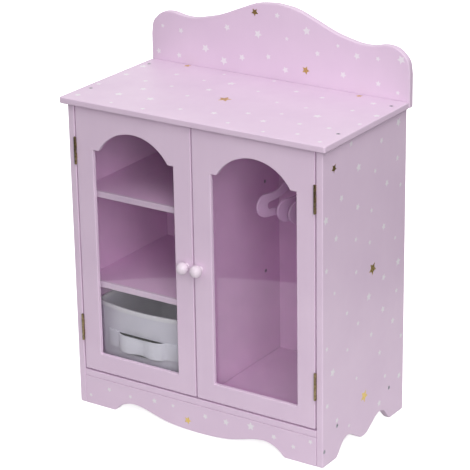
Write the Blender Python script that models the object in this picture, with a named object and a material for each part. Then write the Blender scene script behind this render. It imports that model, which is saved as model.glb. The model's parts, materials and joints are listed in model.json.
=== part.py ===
"""A doll's wardrobe: a painted board cabinet with two glazed doors, two shelves, a hanging rail with
three hangers, and a frosted storage bin.

Metres, +Z up. The front plane of the doors is y = 0 in the wardrobe's own coordinates, with y running
back and z up from the floor. The empty "wardrobe" centres that on the object's box.
"""
import math

import bmesh
import bpy
from mathutils import Matrix, Vector

# Boards
BOARD = 0.009
SIDE_BOARD = 0.010
FIT = 0.0003

# Cabinet
CARCASS_HALF_WIDTH = 0.202
SIDE_INNER = CARCASS_HALF_WIDTH - SIDE_BOARD
SIDE_DEPTH = 0.2179
TOP_UNDERSIDE = 0.4463
TOP_HALF_WIDTH = 0.210
TOP_OVERHANG = 0.0083
CREST_FRONT = 0.2103
CREST_BOARD = 0.0096
BOTTOM_UNDERSIDE = 0.0432
BOTTOM_TOP = 0.0525
DIVIDER_HALF = 0.0045
INNER_FRONT = 0.010
BACK_INNER = SIDE_DEPTH - FIT - BOARD
SHELF_HEIGHTS = {"lower_shelf": 0.1843, "upper_shelf": 0.3180}

# Doors
DOOR_BOTTOM = 0.055
DOOR_TOP = 0.444
DOOR_MEETING_X = 0.001
DOOR_HINGE_X = 0.190
WINDOW_CENTRE_X = 0.0961
WINDOW_HALF = 0.0664
WINDOW_BOTTOM = 0.0819
WINDOW_SHOULDER = 0.3847
ARCH_RADIUS = 0.0668
ARCH_CENTRE_Z = 0.3501
RABBET_FLOOR = 0.0055
RABBET_GROW = 0.007
PANE_THICKNESS = 0.0015
BEAD_GROW = 0.0025

# Butt hinges: the pin stands proud of the front in the gap between door and side
PIN_X = 0.191
PIN_Y = -0.0017
PIN_RADIUS = 0.00075
PIN_HEAD_RADIUS = 0.0012
PIN_HEAD = 0.0006
KNUCKLE_RADIUS = 0.0017
KNUCKLE_BORE = 0.0010
LEAF_NEAR = 0.00015
LEAF_FAR = 0.00065
LEAF_DEPTH = 0.0099
LEAF_START = 0.0020
HINGE_LENGTH = 0.0386
HINGE_HEIGHTS = {"lower": 0.118, "upper": 0.380}
KNUCKLES = 5
KNUCKLE_GAP = 0.0001

# Knobs
KNOB_X = 0.011
KNOB_Z = 0.247
KNOB_RADIUS = 0.0088
KNOB_CENTRE_Y = -0.0107
KNOB_NECK = 0.0036
KNOB_BORE = 0.0016
KNOB_BORE_END = 0.0095
KNOB_COLLAR = ((0.0046, FIT), (0.0040, 0.0012))
KNOB_SCREW_RADIUS = 0.00125
KNOB_SCREW_END = 0.0085
KNOB_SCREW_HEAD = ((0, -0.0017), (0.0022, -0.0016), (0.0030, -0.0009), (0.0030, 0))

# Magnet catches under the top, and the strike plates they hold
CATCH_X = (0.008, 0.038)
CATCH_Y = (0.0104, 0.026)
CATCH_BOTTOM = 0.434
STRIKE_X = (0.010, 0.036)
STRIKE_Z = (0.428, 0.441)
STRIKE_THICKNESS = 0.0006

# Wood screws
SCREW_HEAD = 0.0026
SCREW_HEAD_DEPTH = 0.002
SCREW_SHANK = 0.0015
SCREW_SIDES = 8

# Rail and hangers
RAIL_Y = 0.109
RAIL_Z = 0.400
RAIL_RADIUS = 0.004
SOCKET_FLANGE_RADIUS = 0.0095
SOCKET_FLANGE = 0.002
SOCKET_RADIUS = 0.007
SOCKET_LENGTH = 0.009
SOCKET_FLOOR = 0.002
HANGER_X = (0.0924, 0.1244, 0.1423)
HANGER_TURN = math.radians(-22)
HANGER_THICKNESS = 0.004
LOBE_X = 0.0465
LOBE_Z = -0.071
LOBE_RADIUS = 0.0165
HOOK_INNER = 0.0065
HOOK_OUTER = 0.0105
HOOK_END = math.radians(160)
STEM_HALF = 0.0025

# Storage bin
BIN_X = -0.1048
BIN_HALF = 0.084
BIN_FRONT = 0.0195
BIN_BACK = 0.1925
BIN_BOW = 0.013
BIN_RIM = 0.150
BIN_LIP = 0.0015
BIN_LIP_HEIGHT = 0.006
BIN_WALL = 0.002
BIN_DRAFT = 0.0015
BIN_CORNER = 0.016
HANDLE_LOW = 0.087
HANDLE_HIGH = 0.113
HANDLE_HALF = 0.060
STRIP = 0.0018
# Half of the wavy grip: across from its middle, and how far it stands off the flat tails
GRIP_WAVE = (
    (0, 0.0022), (0.006, 0.0030), (0.012, 0.0052), (0.018, 0.0068), (0.024, 0.0072), (0.030, 0.0066),
    (0.035, 0.0050), (0.0375, 0.0006),
)
GRIP_END = 0.040

DEPTH_FRONT = KNOB_CENTRE_Y - KNOB_RADIUS
DEPTH_BACK = CREST_FRONT + CREST_BOARD

for item in list(bpy.data.objects):
    bpy.data.objects.remove(item)

WARDROBE = bpy.data.objects.new("wardrobe", None)
bpy.context.collection.objects.link(WARDROBE)
WARDROBE.location = (0, -(DEPTH_FRONT + DEPTH_BACK) / 2, 0)


# Materials

def material(name, colour, roughness, metallic=0.0, alpha=1.0):
    made = bpy.data.materials.new(name)
    made.use_nodes = True
    shader = made.node_tree.nodes["Principled BSDF"]
    shader.inputs["Base Color"].default_value = (*colour, 1)
    shader.inputs["Roughness"].default_value = roughness
    shader.inputs["Metallic"].default_value = metallic
    shader.inputs["Alpha"].default_value = alpha
    made.diffuse_color = (*colour, alpha)
    return made


PAINT = material("lilac_paint", (0.60, 0.45, 0.60), 0.45)
KNOB_PAINT = material("pale_pink_paint", (0.82, 0.68, 0.80), 0.30)
CLEAR = material("clear_plastic", (0.95, 0.95, 0.97), 0.05, alpha=0.25)
BRASS = material("antique_brass", (0.40, 0.33, 0.18), 0.35, metallic=1.0)
STEEL = material("zinc_steel", (0.42, 0.42, 0.45), 0.35, metallic=1.0)
MAGNET = material("magnet_housing", (0.75, 0.75, 0.74), 0.5)
FROSTED = material("frosted_plastic", (0.62, 0.63, 0.67), 0.5, alpha=0.7)
WHITE = material("white_plastic", (0.78, 0.78, 0.80), 0.4)
HANGER_PINK = material("lilac_plastic", (0.62, 0.42, 0.62), 0.3)


# Shape helpers

def assembly(name, at):
    """An empty on the joint axis that carries the pieces moving together."""
    group = bpy.data.objects.new(name, None)
    bpy.context.collection.objects.link(group)
    group.parent = WARDROBE
    group.location = at
    return group


def add(name, bm, surface, group=WARDROBE, at=(0, 0, 0)):
    """Make a named object from bm, drawn in wardrobe coordinates, with its origin at the point given."""
    bmesh.ops.recalc_face_normals(bm, faces=bm.faces)
    mesh = bpy.data.meshes.new(name)
    bm.to_mesh(mesh)
    bm.free()
    mesh.transform(Matrix.Translation(-Vector(at)))
    mesh.materials.append(surface)
    piece = bpy.data.objects.new(name, mesh)
    bpy.context.collection.objects.link(piece)
    piece.parent = group
    carried = Vector() if group is WARDROBE else group.location
    piece.location = Vector(at) - carried
    return piece


def rounded_edges(piece, width, segments=1):
    bevel = piece.modifiers.new("edges", "BEVEL")
    bevel.width = width
    bevel.segments = segments
    bevel.limit_method = "ANGLE"
    return piece


def smooth_rounds(piece, degrees=40):
    piece.data.shade_smooth()
    piece.data.set_sharp_from_angle(angle=math.radians(degrees))
    return piece


def boolean(piece, operation, operand_name, parts):
    """Cut piece with, or join it to, a hidden helper that holds every shape in parts."""
    bm = bmesh.new()
    for part in parts:
        bmesh.ops.recalc_face_normals(part, faces=part.faces)
        scratch = bpy.data.meshes.new(operand_name)
        part.to_mesh(scratch)
        part.free()
        bm.from_mesh(scratch)
        bpy.data.meshes.remove(scratch)
    mesh = bpy.data.meshes.new(operand_name)
    bm.to_mesh(mesh)
    bm.free()
    helper = bpy.data.objects.new(operand_name, mesh)
    bpy.context.collection.objects.link(helper)
    helper.parent = WARDROBE
    helper.hide_render = True
    helper.display_type = "WIRE"
    modifier = piece.modifiers.new(operand_name, "BOOLEAN")
    modifier.operation = operation
    modifier.solver = "EXACT"
    modifier.object = helper


def block(low, high):
    """A box between two corners."""
    bm = bmesh.new()
    size = Vector(high) - Vector(low)
    middle = (Vector(high) + Vector(low)) / 2
    bmesh.ops.create_cube(bm, size=1, matrix=Matrix.Translation(middle) @ Matrix.Diagonal((*size, 1)))
    return bm


def board(name, low, high, width=0.001, segments=1):
    middle = (Vector(high) + Vector(low)) / 2
    return rounded_edges(add(name, block(low, high), PAINT, at=middle), width, segments)


def plate(outline, plane, start, thickness, holes=()):
    """A flat plate: outline and holes are (u, v) points in the plane "xy", "xz" or "yz"."""
    lift = {
        "xy": lambda u, v: (u, v, start),
        "xz": lambda u, v: (u, start, v),
        "yz": lambda u, v: (start, u, v),
    }[plane]
    push = {"xy": (0, 0, thickness), "xz": (0, thickness, 0), "yz": (thickness, 0, 0)}[plane]
    bm = bmesh.new()
    for loop in (outline, *holes):
        points = [bm.verts.new(lift(u, v)) for u, v in loop]
        for i, point in enumerate(points):
            bm.edges.new((points[i - 1], point))
    bmesh.ops.triangle_fill(bm, edges=bm.edges[:], use_beauty=True, use_dissolve=False)
    raised = bmesh.ops.extrude_face_region(bm, geom=bm.faces[:])["geom"]
    bmesh.ops.translate(bm, verts=[g for g in raised if isinstance(g, bmesh.types.BMVert)], vec=push)
    return bm


def arc(centre, radius, start, end, steps):
    """Points on a circle from one angle to another, both ends included."""
    angles = [start + (end - start) * i / steps for i in range(steps + 1)]
    return [(centre[0] + radius * math.cos(a), centre[1] + radius * math.sin(a)) for a in angles]


def through(keys, steps):
    """A smooth curve through the key points (Catmull-Rom)."""
    padded = [keys[0], *keys, keys[-1]]
    points = []
    for a, b, c, d in zip(padded, padded[1:], padded[2:], padded[3:]):
        for i in range(steps):
            t = i / steps
            weights = (
                -0.5 * t + t * t - 0.5 * t ** 3,
                1 - 2.5 * t * t + 1.5 * t ** 3,
                0.5 * t + 2 * t * t - 1.5 * t ** 3,
                -0.5 * t * t + 0.5 * t ** 3,
            )
            points.append(tuple(sum(w * p[k] for w, p in zip(weights, (a, b, c, d))) for k in (0, 1)))
    return [*points, keys[-1]]


def turned(profile, origin, direction, sides):
    """A solid turned from (radius, distance) points, starting and ending on the axis."""
    along = Vector(direction).normalized()
    turn = along.to_track_quat("Z", "Y").to_matrix().to_4x4()
    place = Matrix.Translation(origin) @ turn
    bm = bmesh.new()
    rings = []
    for radius, distance in profile:
        if radius == 0:
            rings.append([bm.verts.new(place @ Vector((0, 0, distance)))])
            continue
        ring = []
        for i in range(sides):
            angle = 2 * math.pi * (i + 0.5) / sides
            flat = Vector((radius * math.cos(angle), radius * math.sin(angle), distance))
            ring.append(bm.verts.new(place @ flat))
        rings.append(ring)
    for low, high in zip(rings, rings[1:]):
        for i in range(sides):
            j = (i + 1) % sides
            corners = (low[i % len(low)], low[j % len(low)], high[j % len(high)], high[i % len(high)])
            bm.faces.new(list(dict.fromkeys(corners)))
    return bm


# Screws: every screw has a hole of its own shape, one fit larger

def screw_profile(length, grow=0.0, above=0.0):
    return [
        (0, above),
        (SCREW_HEAD + grow, above),
        (SCREW_HEAD + grow, -SCREW_HEAD_DEPTH - grow),
        (SCREW_SHANK + grow, -SCREW_HEAD_DEPTH - grow),
        (SCREW_SHANK + grow, -length - grow),
        (0, -length - grow),
    ]


def screw(name, head, outward, length):
    """A wood screw whose head is flush with the surface at head, facing outward."""
    return add(name, turned(screw_profile(length), head, outward, SCREW_SIDES), STEEL, at=head)


def screw_hole(head, outward, length):
    return turned(screw_profile(length, FIT, 0.001), head, outward, SCREW_SIDES)


def mirrored(side, x):
    return -x if side == "left" else x


# Cabinet

SIDE_SCREWS = {"apron": (0.0045, 0.0229), "floor_front": (0.0376, 0.0480), "floor_back": (0.1780, 0.0480)}
TOP_SCREWS = {"front": 0.0467, "back": 0.1838}
SHELF_SCREWS = {"front": 0.030, "back": 0.172}
CREST_SCREW_X = 0.120
LONG_SCREW = 0.035
SHORT_SCREW = 0.028
TOP_SCREW_X = (SIDE_INNER + CARCASS_HALF_WIDTH) / 2
TOP_SURFACE = TOP_UNDERSIDE + BOARD


def foot_line(centre):
    """The wavy lower edge of a side: two arches with a low lobe between them."""
    rise = [
        (0, 0.0030), (0.008, 0.0042), (0.016, 0.0086), (0.024, 0.0135), (0.031, 0.0180), (0.038, 0.0210),
        (0.045, 0.0218), (0.052, 0.0198), (0.057, 0.0170), (0.062, 0.0115), (0.067, 0.0055), (0.073, 0),
    ]
    half = through(rise, 2)
    back = [(centre + d, z) for d, z in reversed(half)]
    front = [(centre - d, z) for d, z in half[1:]]
    return back + front


def side_panels():
    for side in ("left", "right"):
        outline = [(0, 0), (0, TOP_UNDERSIDE - FIT), (SIDE_DEPTH, TOP_UNDERSIDE - FIT), (SIDE_DEPTH, 0)]
        outline += foot_line(SIDE_DEPTH / 2)
        inner = mirrored(side, SIDE_INNER)
        outer = mirrored(side, CARCASS_HALF_WIDTH)
        panel = add(
            f"side_panel_{side}",
            plate(outline, "yz", min(inner, outer), SIDE_BOARD),
            PAINT,
            at=(inner, 0, 0),
        )
        rounded_edges(panel, 0.001)
        outward = (1 if side == "right" else -1, 0, 0)
        holes = [screw_hole((outer, y, z), outward, LONG_SCREW) for y, z in SIDE_SCREWS.values()]
        holes += [
            screw_hole((mirrored(side, TOP_SCREW_X), y, TOP_SURFACE), (0, 0, 1), LONG_SCREW)
            for y in TOP_SCREWS.values()
        ]
        boolean(panel, "DIFFERENCE", f"side_holes_{side}", holes)
        for place, (y, z) in SIDE_SCREWS.items():
            screw(f"side_screw_{side}_{place}", (outer, y, z), outward, LONG_SCREW)


def top_and_crest():
    top = board(
        "top_panel",
        (-TOP_HALF_WIDTH, -TOP_OVERHANG, TOP_UNDERSIDE),
        (TOP_HALF_WIDTH, CREST_FRONT - FIT, TOP_SURFACE),
        0.0015,
    )
    crest_z = TOP_UNDERSIDE + BOARD / 2
    holes = []
    for side in ("left", "right"):
        x = mirrored(side, TOP_SCREW_X)
        for place, y in TOP_SCREWS.items():
            screw(f"top_screw_{side}_{place}", (x, y, TOP_SURFACE), (0, 0, 1), LONG_SCREW)
            holes.append(screw_hole((x, y, TOP_SURFACE), (0, 0, 1), LONG_SCREW))
        holes.append(screw_hole((mirrored(side, CREST_SCREW_X), DEPTH_BACK, crest_z), (0, 1, 0), SHORT_SCREW))
    boolean(top, "DIFFERENCE", "top_holes", holes)

    half = [
        (0, 0.1072), (0.0315, 0.1034), (0.063, 0.0914), (0.0945, 0.0785), (0.126, 0.0707), (0.1418, 0.0689),
        (0.1554, 0.0698), (0.1733, 0.0731), (0.189, 0.0710), (0.1995, 0.0640), (0.2073, 0.0539), (0.210, 0.0368),
    ]
    right = [(x, TOP_SURFACE + z) for x, z in through(half, 2)]
    left = [(-x, z) for x, z in reversed(right[1:])]
    outline = left + right + [(TOP_HALF_WIDTH, TOP_UNDERSIDE), (-TOP_HALF_WIDTH, TOP_UNDERSIDE)]
    crest = add(
        "crest_board",
        plate(outline, "xz", CREST_FRONT, CREST_BOARD),
        PAINT,
        at=(0, CREST_FRONT, TOP_UNDERSIDE),
    )
    rounded_edges(crest, 0.0015)
    holes = []
    for side in ("left", "right"):
        head = (mirrored(side, CREST_SCREW_X), DEPTH_BACK, crest_z)
        screw(f"crest_screw_{side}", head, (0, 1, 0), SHORT_SCREW)
        holes.append(screw_hole(head, (0, 1, 0), SHORT_SCREW))
    boolean(crest, "DIFFERENCE", "crest_holes", holes)


def inner_boards():
    inside = SIDE_INNER - FIT
    floor = board("bottom_panel", (-inside, 0, BOTTOM_UNDERSIDE), (inside, BACK_INNER - FIT, BOTTOM_TOP), 0.0008)
    board("back_panel", (-inside, BACK_INNER, BOTTOM_UNDERSIDE), (inside, BACK_INNER + BOARD, TOP_UNDERSIDE - FIT))
    divider = board(
        "centre_divider",
        (-DIVIDER_HALF, INNER_FRONT, BOTTOM_TOP + FIT),
        (DIVIDER_HALF, BACK_INNER - FIT, TOP_UNDERSIDE - FIT),
    )
    floor_holes = []
    for side in ("left", "right"):
        outer = mirrored(side, CARCASS_HALF_WIDTH)
        outward = (1 if side == "right" else -1, 0, 0)
        for place in ("floor_front", "floor_back"):
            y, z = SIDE_SCREWS[place]
            floor_holes.append(screw_hole((outer, y, z), outward, LONG_SCREW))
    boolean(floor, "DIFFERENCE", "floor_holes", floor_holes)

    divider_holes = []
    for name, z in SHELF_HEIGHTS.items():
        shelf = board(
            name,
            (-inside, INNER_FRONT, z - BOARD / 2),
            (-DIVIDER_HALF - FIT, BACK_INNER - FIT, z + BOARD / 2),
        )
        shelf_holes = []
        for place, y in SHELF_SCREWS.items():
            head = (DIVIDER_HALF, y, z)
            screw(f"shelf_screw_{name.split('_')[0]}_{place}", head, (1, 0, 0), SHORT_SCREW)
            shelf_holes.append(screw_hole(head, (1, 0, 0), SHORT_SCREW))
            divider_holes.append(screw_hole(head, (1, 0, 0), SHORT_SCREW))
        boolean(shelf, "DIFFERENCE", f"{name}_holes", shelf_holes)
    boolean(divider, "DIFFERENCE", "divider_holes", divider_holes)


def apron():
    """The front skirt: a wide foot at each end, and a shallow double arch between them."""
    inside = SIDE_INNER - FIT
    rise = [
        (0, 0.0007), (0.021, 0.0013), (0.038, 0.0026), (0.0546, 0.0049), (0.072, 0.0093), (0.089, 0.0141),
        (0.106, 0.0168), (0.117, 0.0156), (0.126, 0.0122), (0.133, 0.0078), (0.139, 0.0020), (0.1425, 0),
    ]
    half = through(rise, 2)
    top = BOTTOM_UNDERSIDE - FIT
    outline = [(-inside, 0), (-inside, top), (inside, top), (inside, 0)]
    outline += [(x, z) for x, z in reversed(half)] + [(-x, z) for x, z in half[1:]]
    skirt = rounded_edges(add("front_apron", plate(outline, "xz", 0, BOARD), PAINT), 0.0006)
    holes = []
    for side in ("left", "right"):
        y, z = SIDE_SCREWS["apron"]
        outward = (1 if side == "right" else -1, 0, 0)
        holes.append(screw_hole((mirrored(side, CARCASS_HALF_WIDTH), y, z), outward, LONG_SCREW))
    boolean(skirt, "DIFFERENCE", "apron_holes", holes)


def magnet_catches():
    for side in ("left", "right"):
        near, far = (mirrored(side, x) for x in CATCH_X)
        low = (min(near, far), CATCH_Y[0], CATCH_BOTTOM)
        high = (max(near, far), CATCH_Y[1], TOP_UNDERSIDE - FIT)
        rounded_edges(add(f"magnet_catch_{side}", block(low, high), MAGNET, at=low), 0.0008)


# Rail and its sockets

def rail():
    start = DIVIDER_HALF + FIT
    end = SIDE_INNER - FIT
    shape = [
        (0, 0), (SOCKET_FLANGE_RADIUS, 0), (SOCKET_FLANGE_RADIUS, SOCKET_FLANGE),
        (SOCKET_RADIUS, SOCKET_FLANGE + 0.0005), (SOCKET_RADIUS, SOCKET_LENGTH),
        (RAIL_RADIUS + FIT, SOCKET_LENGTH), (RAIL_RADIUS + FIT, SOCKET_FLOOR), (0, SOCKET_FLOOR),
    ]
    for side, x, direction in (("left", start, 1), ("right", end, -1)):
        at = (x, RAIL_Y, RAIL_Z)
        cup = add(f"rod_socket_{side}", turned(shape, at, (direction, 0, 0), 16), WHITE, at=at)
        smooth_rounds(cup)
    rod_start = start + SOCKET_FLOOR + FIT
    rod_length = end - SOCKET_FLOOR - FIT - rod_start
    profile = [(0, 0), (RAIL_RADIUS, 0), (RAIL_RADIUS, rod_length), (0, rod_length)]
    at = (rod_start, RAIL_Y, RAIL_Z)
    smooth_rounds(add("hanging_rod", turned(profile, at, (1, 0, 0), 16), PAINT, at=at))


# Doors

def window_outline(grow):
    """The arched window, grown outward all round: a straight lower part, two ledges and an arch."""
    half = WINDOW_HALF + grow
    low = WINDOW_BOTTOM - grow
    ledge = WINDOW_SHOULDER + grow
    radius = ARCH_RADIUS + grow
    foot = math.asin((ledge - ARCH_CENTRE_Z) / radius)
    arch = arc((0, ARCH_CENTRE_Z), radius, foot, math.pi - foot, 20)
    return [(-half, low), (half, low), (half, ledge), *arch, (-half, ledge)]


def across(side, points):
    """Move an outline drawn about the window's centre to its door, keeping its turning direction."""
    centre = mirrored(side, WINDOW_CENTRE_X)
    return [(centre + x, z) for x, z in points]


def door(side, group):
    near = mirrored(side, DOOR_MEETING_X)
    far = mirrored(side, DOOR_HINGE_X)
    x0, x1 = min(near, far), max(near, far)
    outline = [(x0, DOOR_BOTTOM), (x1, DOOR_BOTTOM), (x1, DOOR_TOP), (x0, DOOR_TOP)]
    axis_point = (mirrored(side, PIN_X), PIN_Y, 0)
    window = across(side, window_outline(0))
    frame = add(
        f"door_frame_{side}",
        plate(outline, "xz", 0, BOARD, [window]),
        PAINT,
        group,
        axis_point,
    )
    rounded_edges(frame, 0.001)
    knob_hole_at = (mirrored(side, KNOB_X), BOARD + 0.001, KNOB_Z)
    bore = [(0, 0), (KNOB_BORE, 0), (KNOB_BORE, BOARD + 0.002), (0, BOARD + 0.002)]
    rabbet = plate(across(side, window_outline(RABBET_GROW)), "xz", RABBET_FLOOR, BOARD)
    boolean(frame, "DIFFERENCE", f"door_cuts_{side}", [rabbet, turned(bore, knob_hole_at, (0, -1, 0), 12)])

    glazing = across(side, window_outline(RABBET_GROW - 2 * FIT))
    pane_y = RABBET_FLOOR + FIT
    add(f"window_pane_{side}", plate(glazing, "xz", pane_y, PANE_THICKNESS), CLEAR, group, axis_point)
    bead_y = pane_y + PANE_THICKNESS + FIT
    opening = across(side, window_outline(BEAD_GROW))
    bead = plate(glazing, "xz", bead_y, BOARD - FIT - bead_y, [opening])
    add(f"pane_bead_{side}", bead, PAINT, group, axis_point)


def knob(side, group):
    x = mirrored(side, KNOB_X)
    start = math.asin(KNOB_NECK / KNOB_RADIUS)
    ball = [
        (KNOB_RADIUS * math.sin(a), -KNOB_CENTRE_Y - KNOB_RADIUS * math.cos(a))
        for a in [start + (math.pi - start) * i / 9 for i in range(9)]
    ]
    profile = [(0, KNOB_BORE_END), (KNOB_BORE, KNOB_BORE_END), (KNOB_BORE, FIT), *KNOB_COLLAR]
    profile += ball + [(0, -KNOB_CENTRE_Y + KNOB_RADIUS)]
    at = (x, 0, KNOB_Z)
    smooth_rounds(add(f"knob_{side}", turned(profile, at, (0, -1, 0), 16), KNOB_PAINT, group, at))

    head = BOARD + FIT
    length = head + KNOB_SCREW_END
    shank = [*KNOB_SCREW_HEAD, (KNOB_SCREW_RADIUS, 0), (KNOB_SCREW_RADIUS, length), (0, length)]
    at = (x, head, KNOB_Z)
    smooth_rounds(add(f"knob_screw_{side}", turned(shank, at, (0, -1, 0), 12), STEEL, group, at))


def strike_plate(side, group):
    near, far = (mirrored(side, x) for x in STRIKE_X)
    low = (min(near, far), BOARD + FIT, STRIKE_Z[0])
    high = (max(near, far), BOARD + FIT + STRIKE_THICKNESS, STRIKE_Z[1])
    add(f"strike_plate_{side}", block(low, high), STEEL, group, low)


# Hinges

def knuckle(side, leaf, low, high):
    """One knuckle with the tab that joins it to its leaf."""
    sign = (1 if side == "right" else -1) * (1 if leaf == "cabinet" else -1)
    start = math.atan2(math.sqrt(KNUCKLE_RADIUS ** 2 - LEAF_FAR ** 2), LEAF_FAR)
    end = math.atan2(math.sqrt(KNUCKLE_RADIUS ** 2 - LEAF_NEAR ** 2), LEAF_NEAR)
    tab = LEAF_START + 0.0004
    outline = arc((0, 0), KNUCKLE_RADIUS, start, end - 2 * math.pi, 12) + [(LEAF_NEAR, tab), (LEAF_FAR, tab)]
    bore = arc((0, 0), KNUCKLE_BORE, 0, 2 * math.pi * 9 / 10, 9)
    pin_x = mirrored(side, PIN_X)
    placed = [[(pin_x + sign * x, PIN_Y + y) for x, y in loop] for loop in (outline, bore)]
    return plate(placed[0], "xy", low, high - low, [placed[1]])


def hinge(side, level, group):
    z = HINGE_HEIGHTS[level]
    low = z - HINGE_LENGTH / 2
    pitch = HINGE_LENGTH / KNUCKLES
    axis_point = (mirrored(side, PIN_X), PIN_Y, z)
    for leaf, owner in (("cabinet", WARDROBE), ("door", group)):
        sign = (1 if side == "right" else -1) * (1 if leaf == "cabinet" else -1)
        xs = sorted(axis_point[0] + sign * d for d in (LEAF_NEAR, LEAF_FAR))
        body = block((xs[0], PIN_Y + LEAF_START, low), (xs[1], PIN_Y + LEAF_DEPTH, low + HINGE_LENGTH))
        name = f"{leaf}_leaf_{side}_{level}"
        plain = add(name, body, BRASS, owner, axis_point)
        turns = range(0 if leaf == "cabinet" else 1, KNUCKLES, 2)
        knuckles = [
            knuckle(side, leaf, low + i * pitch + KNUCKLE_GAP, low + (i + 1) * pitch - KNUCKLE_GAP)
            for i in turns
        ]
        boolean(plain, "UNION", f"{name}_knuckles", knuckles)
    neck = HINGE_LENGTH / 2 + FIT
    end = neck + PIN_HEAD
    pin = [
        (0, -end), (PIN_HEAD_RADIUS, -end), (PIN_HEAD_RADIUS, -neck), (PIN_RADIUS, -neck),
        (PIN_RADIUS, neck), (PIN_HEAD_RADIUS, neck), (PIN_HEAD_RADIUS, end), (0, end),
    ]
    add(f"hinge_pin_{side}_{level}", turned(pin, axis_point, (0, 0, 1), 10), BRASS, at=axis_point)


# Hangers

def hanger_outline():
    """A chunky closed hanger, drawn about the rail: round lobes, hollow shoulders, and an open hook."""
    shoulder = [(s, LOBE_Z + LOBE_RADIUS + 24.5 * (0.038 - s) ** 2) for s in (0.038, 0.030, 0.022, 0.015, 0.009)]
    right = arc((LOBE_X, LOBE_Z), LOBE_RADIUS, -math.pi / 2, math.pi / 2, 10) + shoulder
    right.append((STEM_HALF, -0.021))
    hook = (0, RAIL_RADIUS + FIT - HOOK_INNER)
    outer_start = -math.acos(STEM_HALF / HOOK_OUTER)
    inner_start = -math.pi + math.acos(STEM_HALF / HOOK_INNER)
    outer = arc(hook, HOOK_OUTER, outer_start, HOOK_END, 14)
    inner = arc(hook, HOOK_INNER, HOOK_END, inner_start, 12)
    left = [(-x, z) for x, z in reversed(right)]
    return right + outer + inner + left


def hanger_slot():
    """The opening between the shoulders and the lower bar."""
    reach = 0.040
    end = arc((reach, -0.0713), 0.0052, -math.pi / 2, math.pi / 2, 6)
    top = [(s, -0.0661 + 12.5 * (reach - s) ** 2) for s in (0.030, 0.020, 0.010)]
    right = end + top
    return right + [(0, -0.0661 + 12.5 * reach ** 2)] + [(-x, z) for x, z in reversed(right)]


def hanger(number, x):
    at = Vector((x, RAIL_Y, RAIL_Z))
    group = assembly(f"hanger_{number}_axis", at)
    bm = plate(hanger_outline(), "yz", -HANGER_THICKNESS / 2, HANGER_THICKNESS, [hanger_slot()])
    bmesh.ops.transform(bm, matrix=Matrix.Translation(at) @ Matrix.Rotation(HANGER_TURN, 4, "Z"), verts=bm.verts)
    add(f"hanger_{number}", bm, HANGER_PINK, group, at)


# Storage bin

def bin_front(x, grow):
    """How far back the bowed front wall stands at x from the bin's middle."""
    sagging = BIN_BOW * (x / BIN_HALF) ** 2
    return BIN_FRONT + sagging - grow


def bin_ring(grow):
    """The bin's plan outline, grown outward: bowed front, straight sides, round corners."""
    half = BIN_HALF + grow
    corner = BIN_CORNER + grow
    back = BIN_BACK + grow
    flat = half - corner
    steps = 6
    front = [(-flat + 2 * flat * i / 10, bin_front(-flat + 2 * flat * i / 10, grow)) for i in range(11)]
    corner_y = bin_front(flat, grow) + corner
    lean = math.atan(2 * BIN_BOW * flat / BIN_HALF ** 2)
    turn_right = arc((flat, corner_y), corner, -math.pi / 2 + lean, 0, steps)
    turn_left = [(-x, y) for x, y in reversed(turn_right)]
    rear_right = arc((flat, back - corner), corner, 0, math.pi / 2, steps)
    rear_left = [(-x, y) for x, y in reversed(rear_right)]
    ring = front[1:-1] + turn_right + rear_right + rear_left + turn_left
    return [(BIN_X + x, y) for x, y in ring]


def storage_bin(group, at):
    floor = BOTTOM_TOP + FIT
    lip = BIN_RIM - BIN_LIP_HEIGHT
    levels = [
        (-BIN_DRAFT, floor), (0, lip), (BIN_LIP, lip), (BIN_LIP, BIN_RIM), (-BIN_WALL, BIN_RIM),
        (-BIN_DRAFT - BIN_WALL, floor + BIN_WALL),
    ]
    bm = bmesh.new()
    rings = [[bm.verts.new((x, y, z)) for x, y in bin_ring(grow)] for grow, z in levels]
    for low, high in zip(rings, rings[1:]):
        for i in range(len(low)):
            bm.faces.new((low[i - 1], low[i], high[i], high[i - 1]))
    bm.faces.new(rings[0])
    bm.faces.new(rings[-1])
    smooth_rounds(add("storage_bin", bm, FROSTED, group, at))


def bin_handle(group, at):
    """A moulded strip: flat tails on the wall, and a wavy grip that stands off it in two swells."""
    half = [*GRIP_WAVE, (GRIP_END, 0), (HANDLE_HALF, 0)]
    offsets = [(-x, reach) for x, reach in reversed(half)] + half[1:]
    back = [(BIN_X + x, bin_front(x, -0.0005) - FIT - reach) for x, reach in offsets]
    front = [(x, y - STRIP) for x, y in back]
    strip = plate(front + list(reversed(back)), "xy", HANDLE_LOW, HANDLE_HIGH - HANDLE_LOW)
    add("bin_handle", strip, WHITE, group, at)


# The whole wardrobe

side_panels()
top_and_crest()
inner_boards()
apron()
magnet_catches()
rail()
for door_side in ("left", "right"):
    door_group = assembly(f"{door_side}_door_axis", (mirrored(door_side, PIN_X), PIN_Y, 0))
    door(door_side, door_group)
    knob(door_side, door_group)
    strike_plate(door_side, door_group)
    for hinge_level in HINGE_HEIGHTS:
        hinge(door_side, hinge_level, door_group)
for hanger_number, hanger_x in enumerate(HANGER_X, 1):
    hanger(hanger_number, hanger_x)
bin_at = (BIN_X, BIN_FRONT, BOTTOM_TOP + FIT)
bin_group = assembly("bin_axis", bin_at)
storage_bin(bin_group, bin_at)
bin_handle(bin_group, bin_at)
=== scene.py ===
"""The looks of the doll's wardrobe: satin lilac boards with printed stars, clear arched windows, brass
butt hinges, turned knobs, moulded hangers and a frosted bin, on a pale studio floor.

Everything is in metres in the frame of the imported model, and every place is worked out from its boxes.
"""
import json
import math
import random

import bmesh
import bpy
from mathutils import Matrix, Vector

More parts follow.
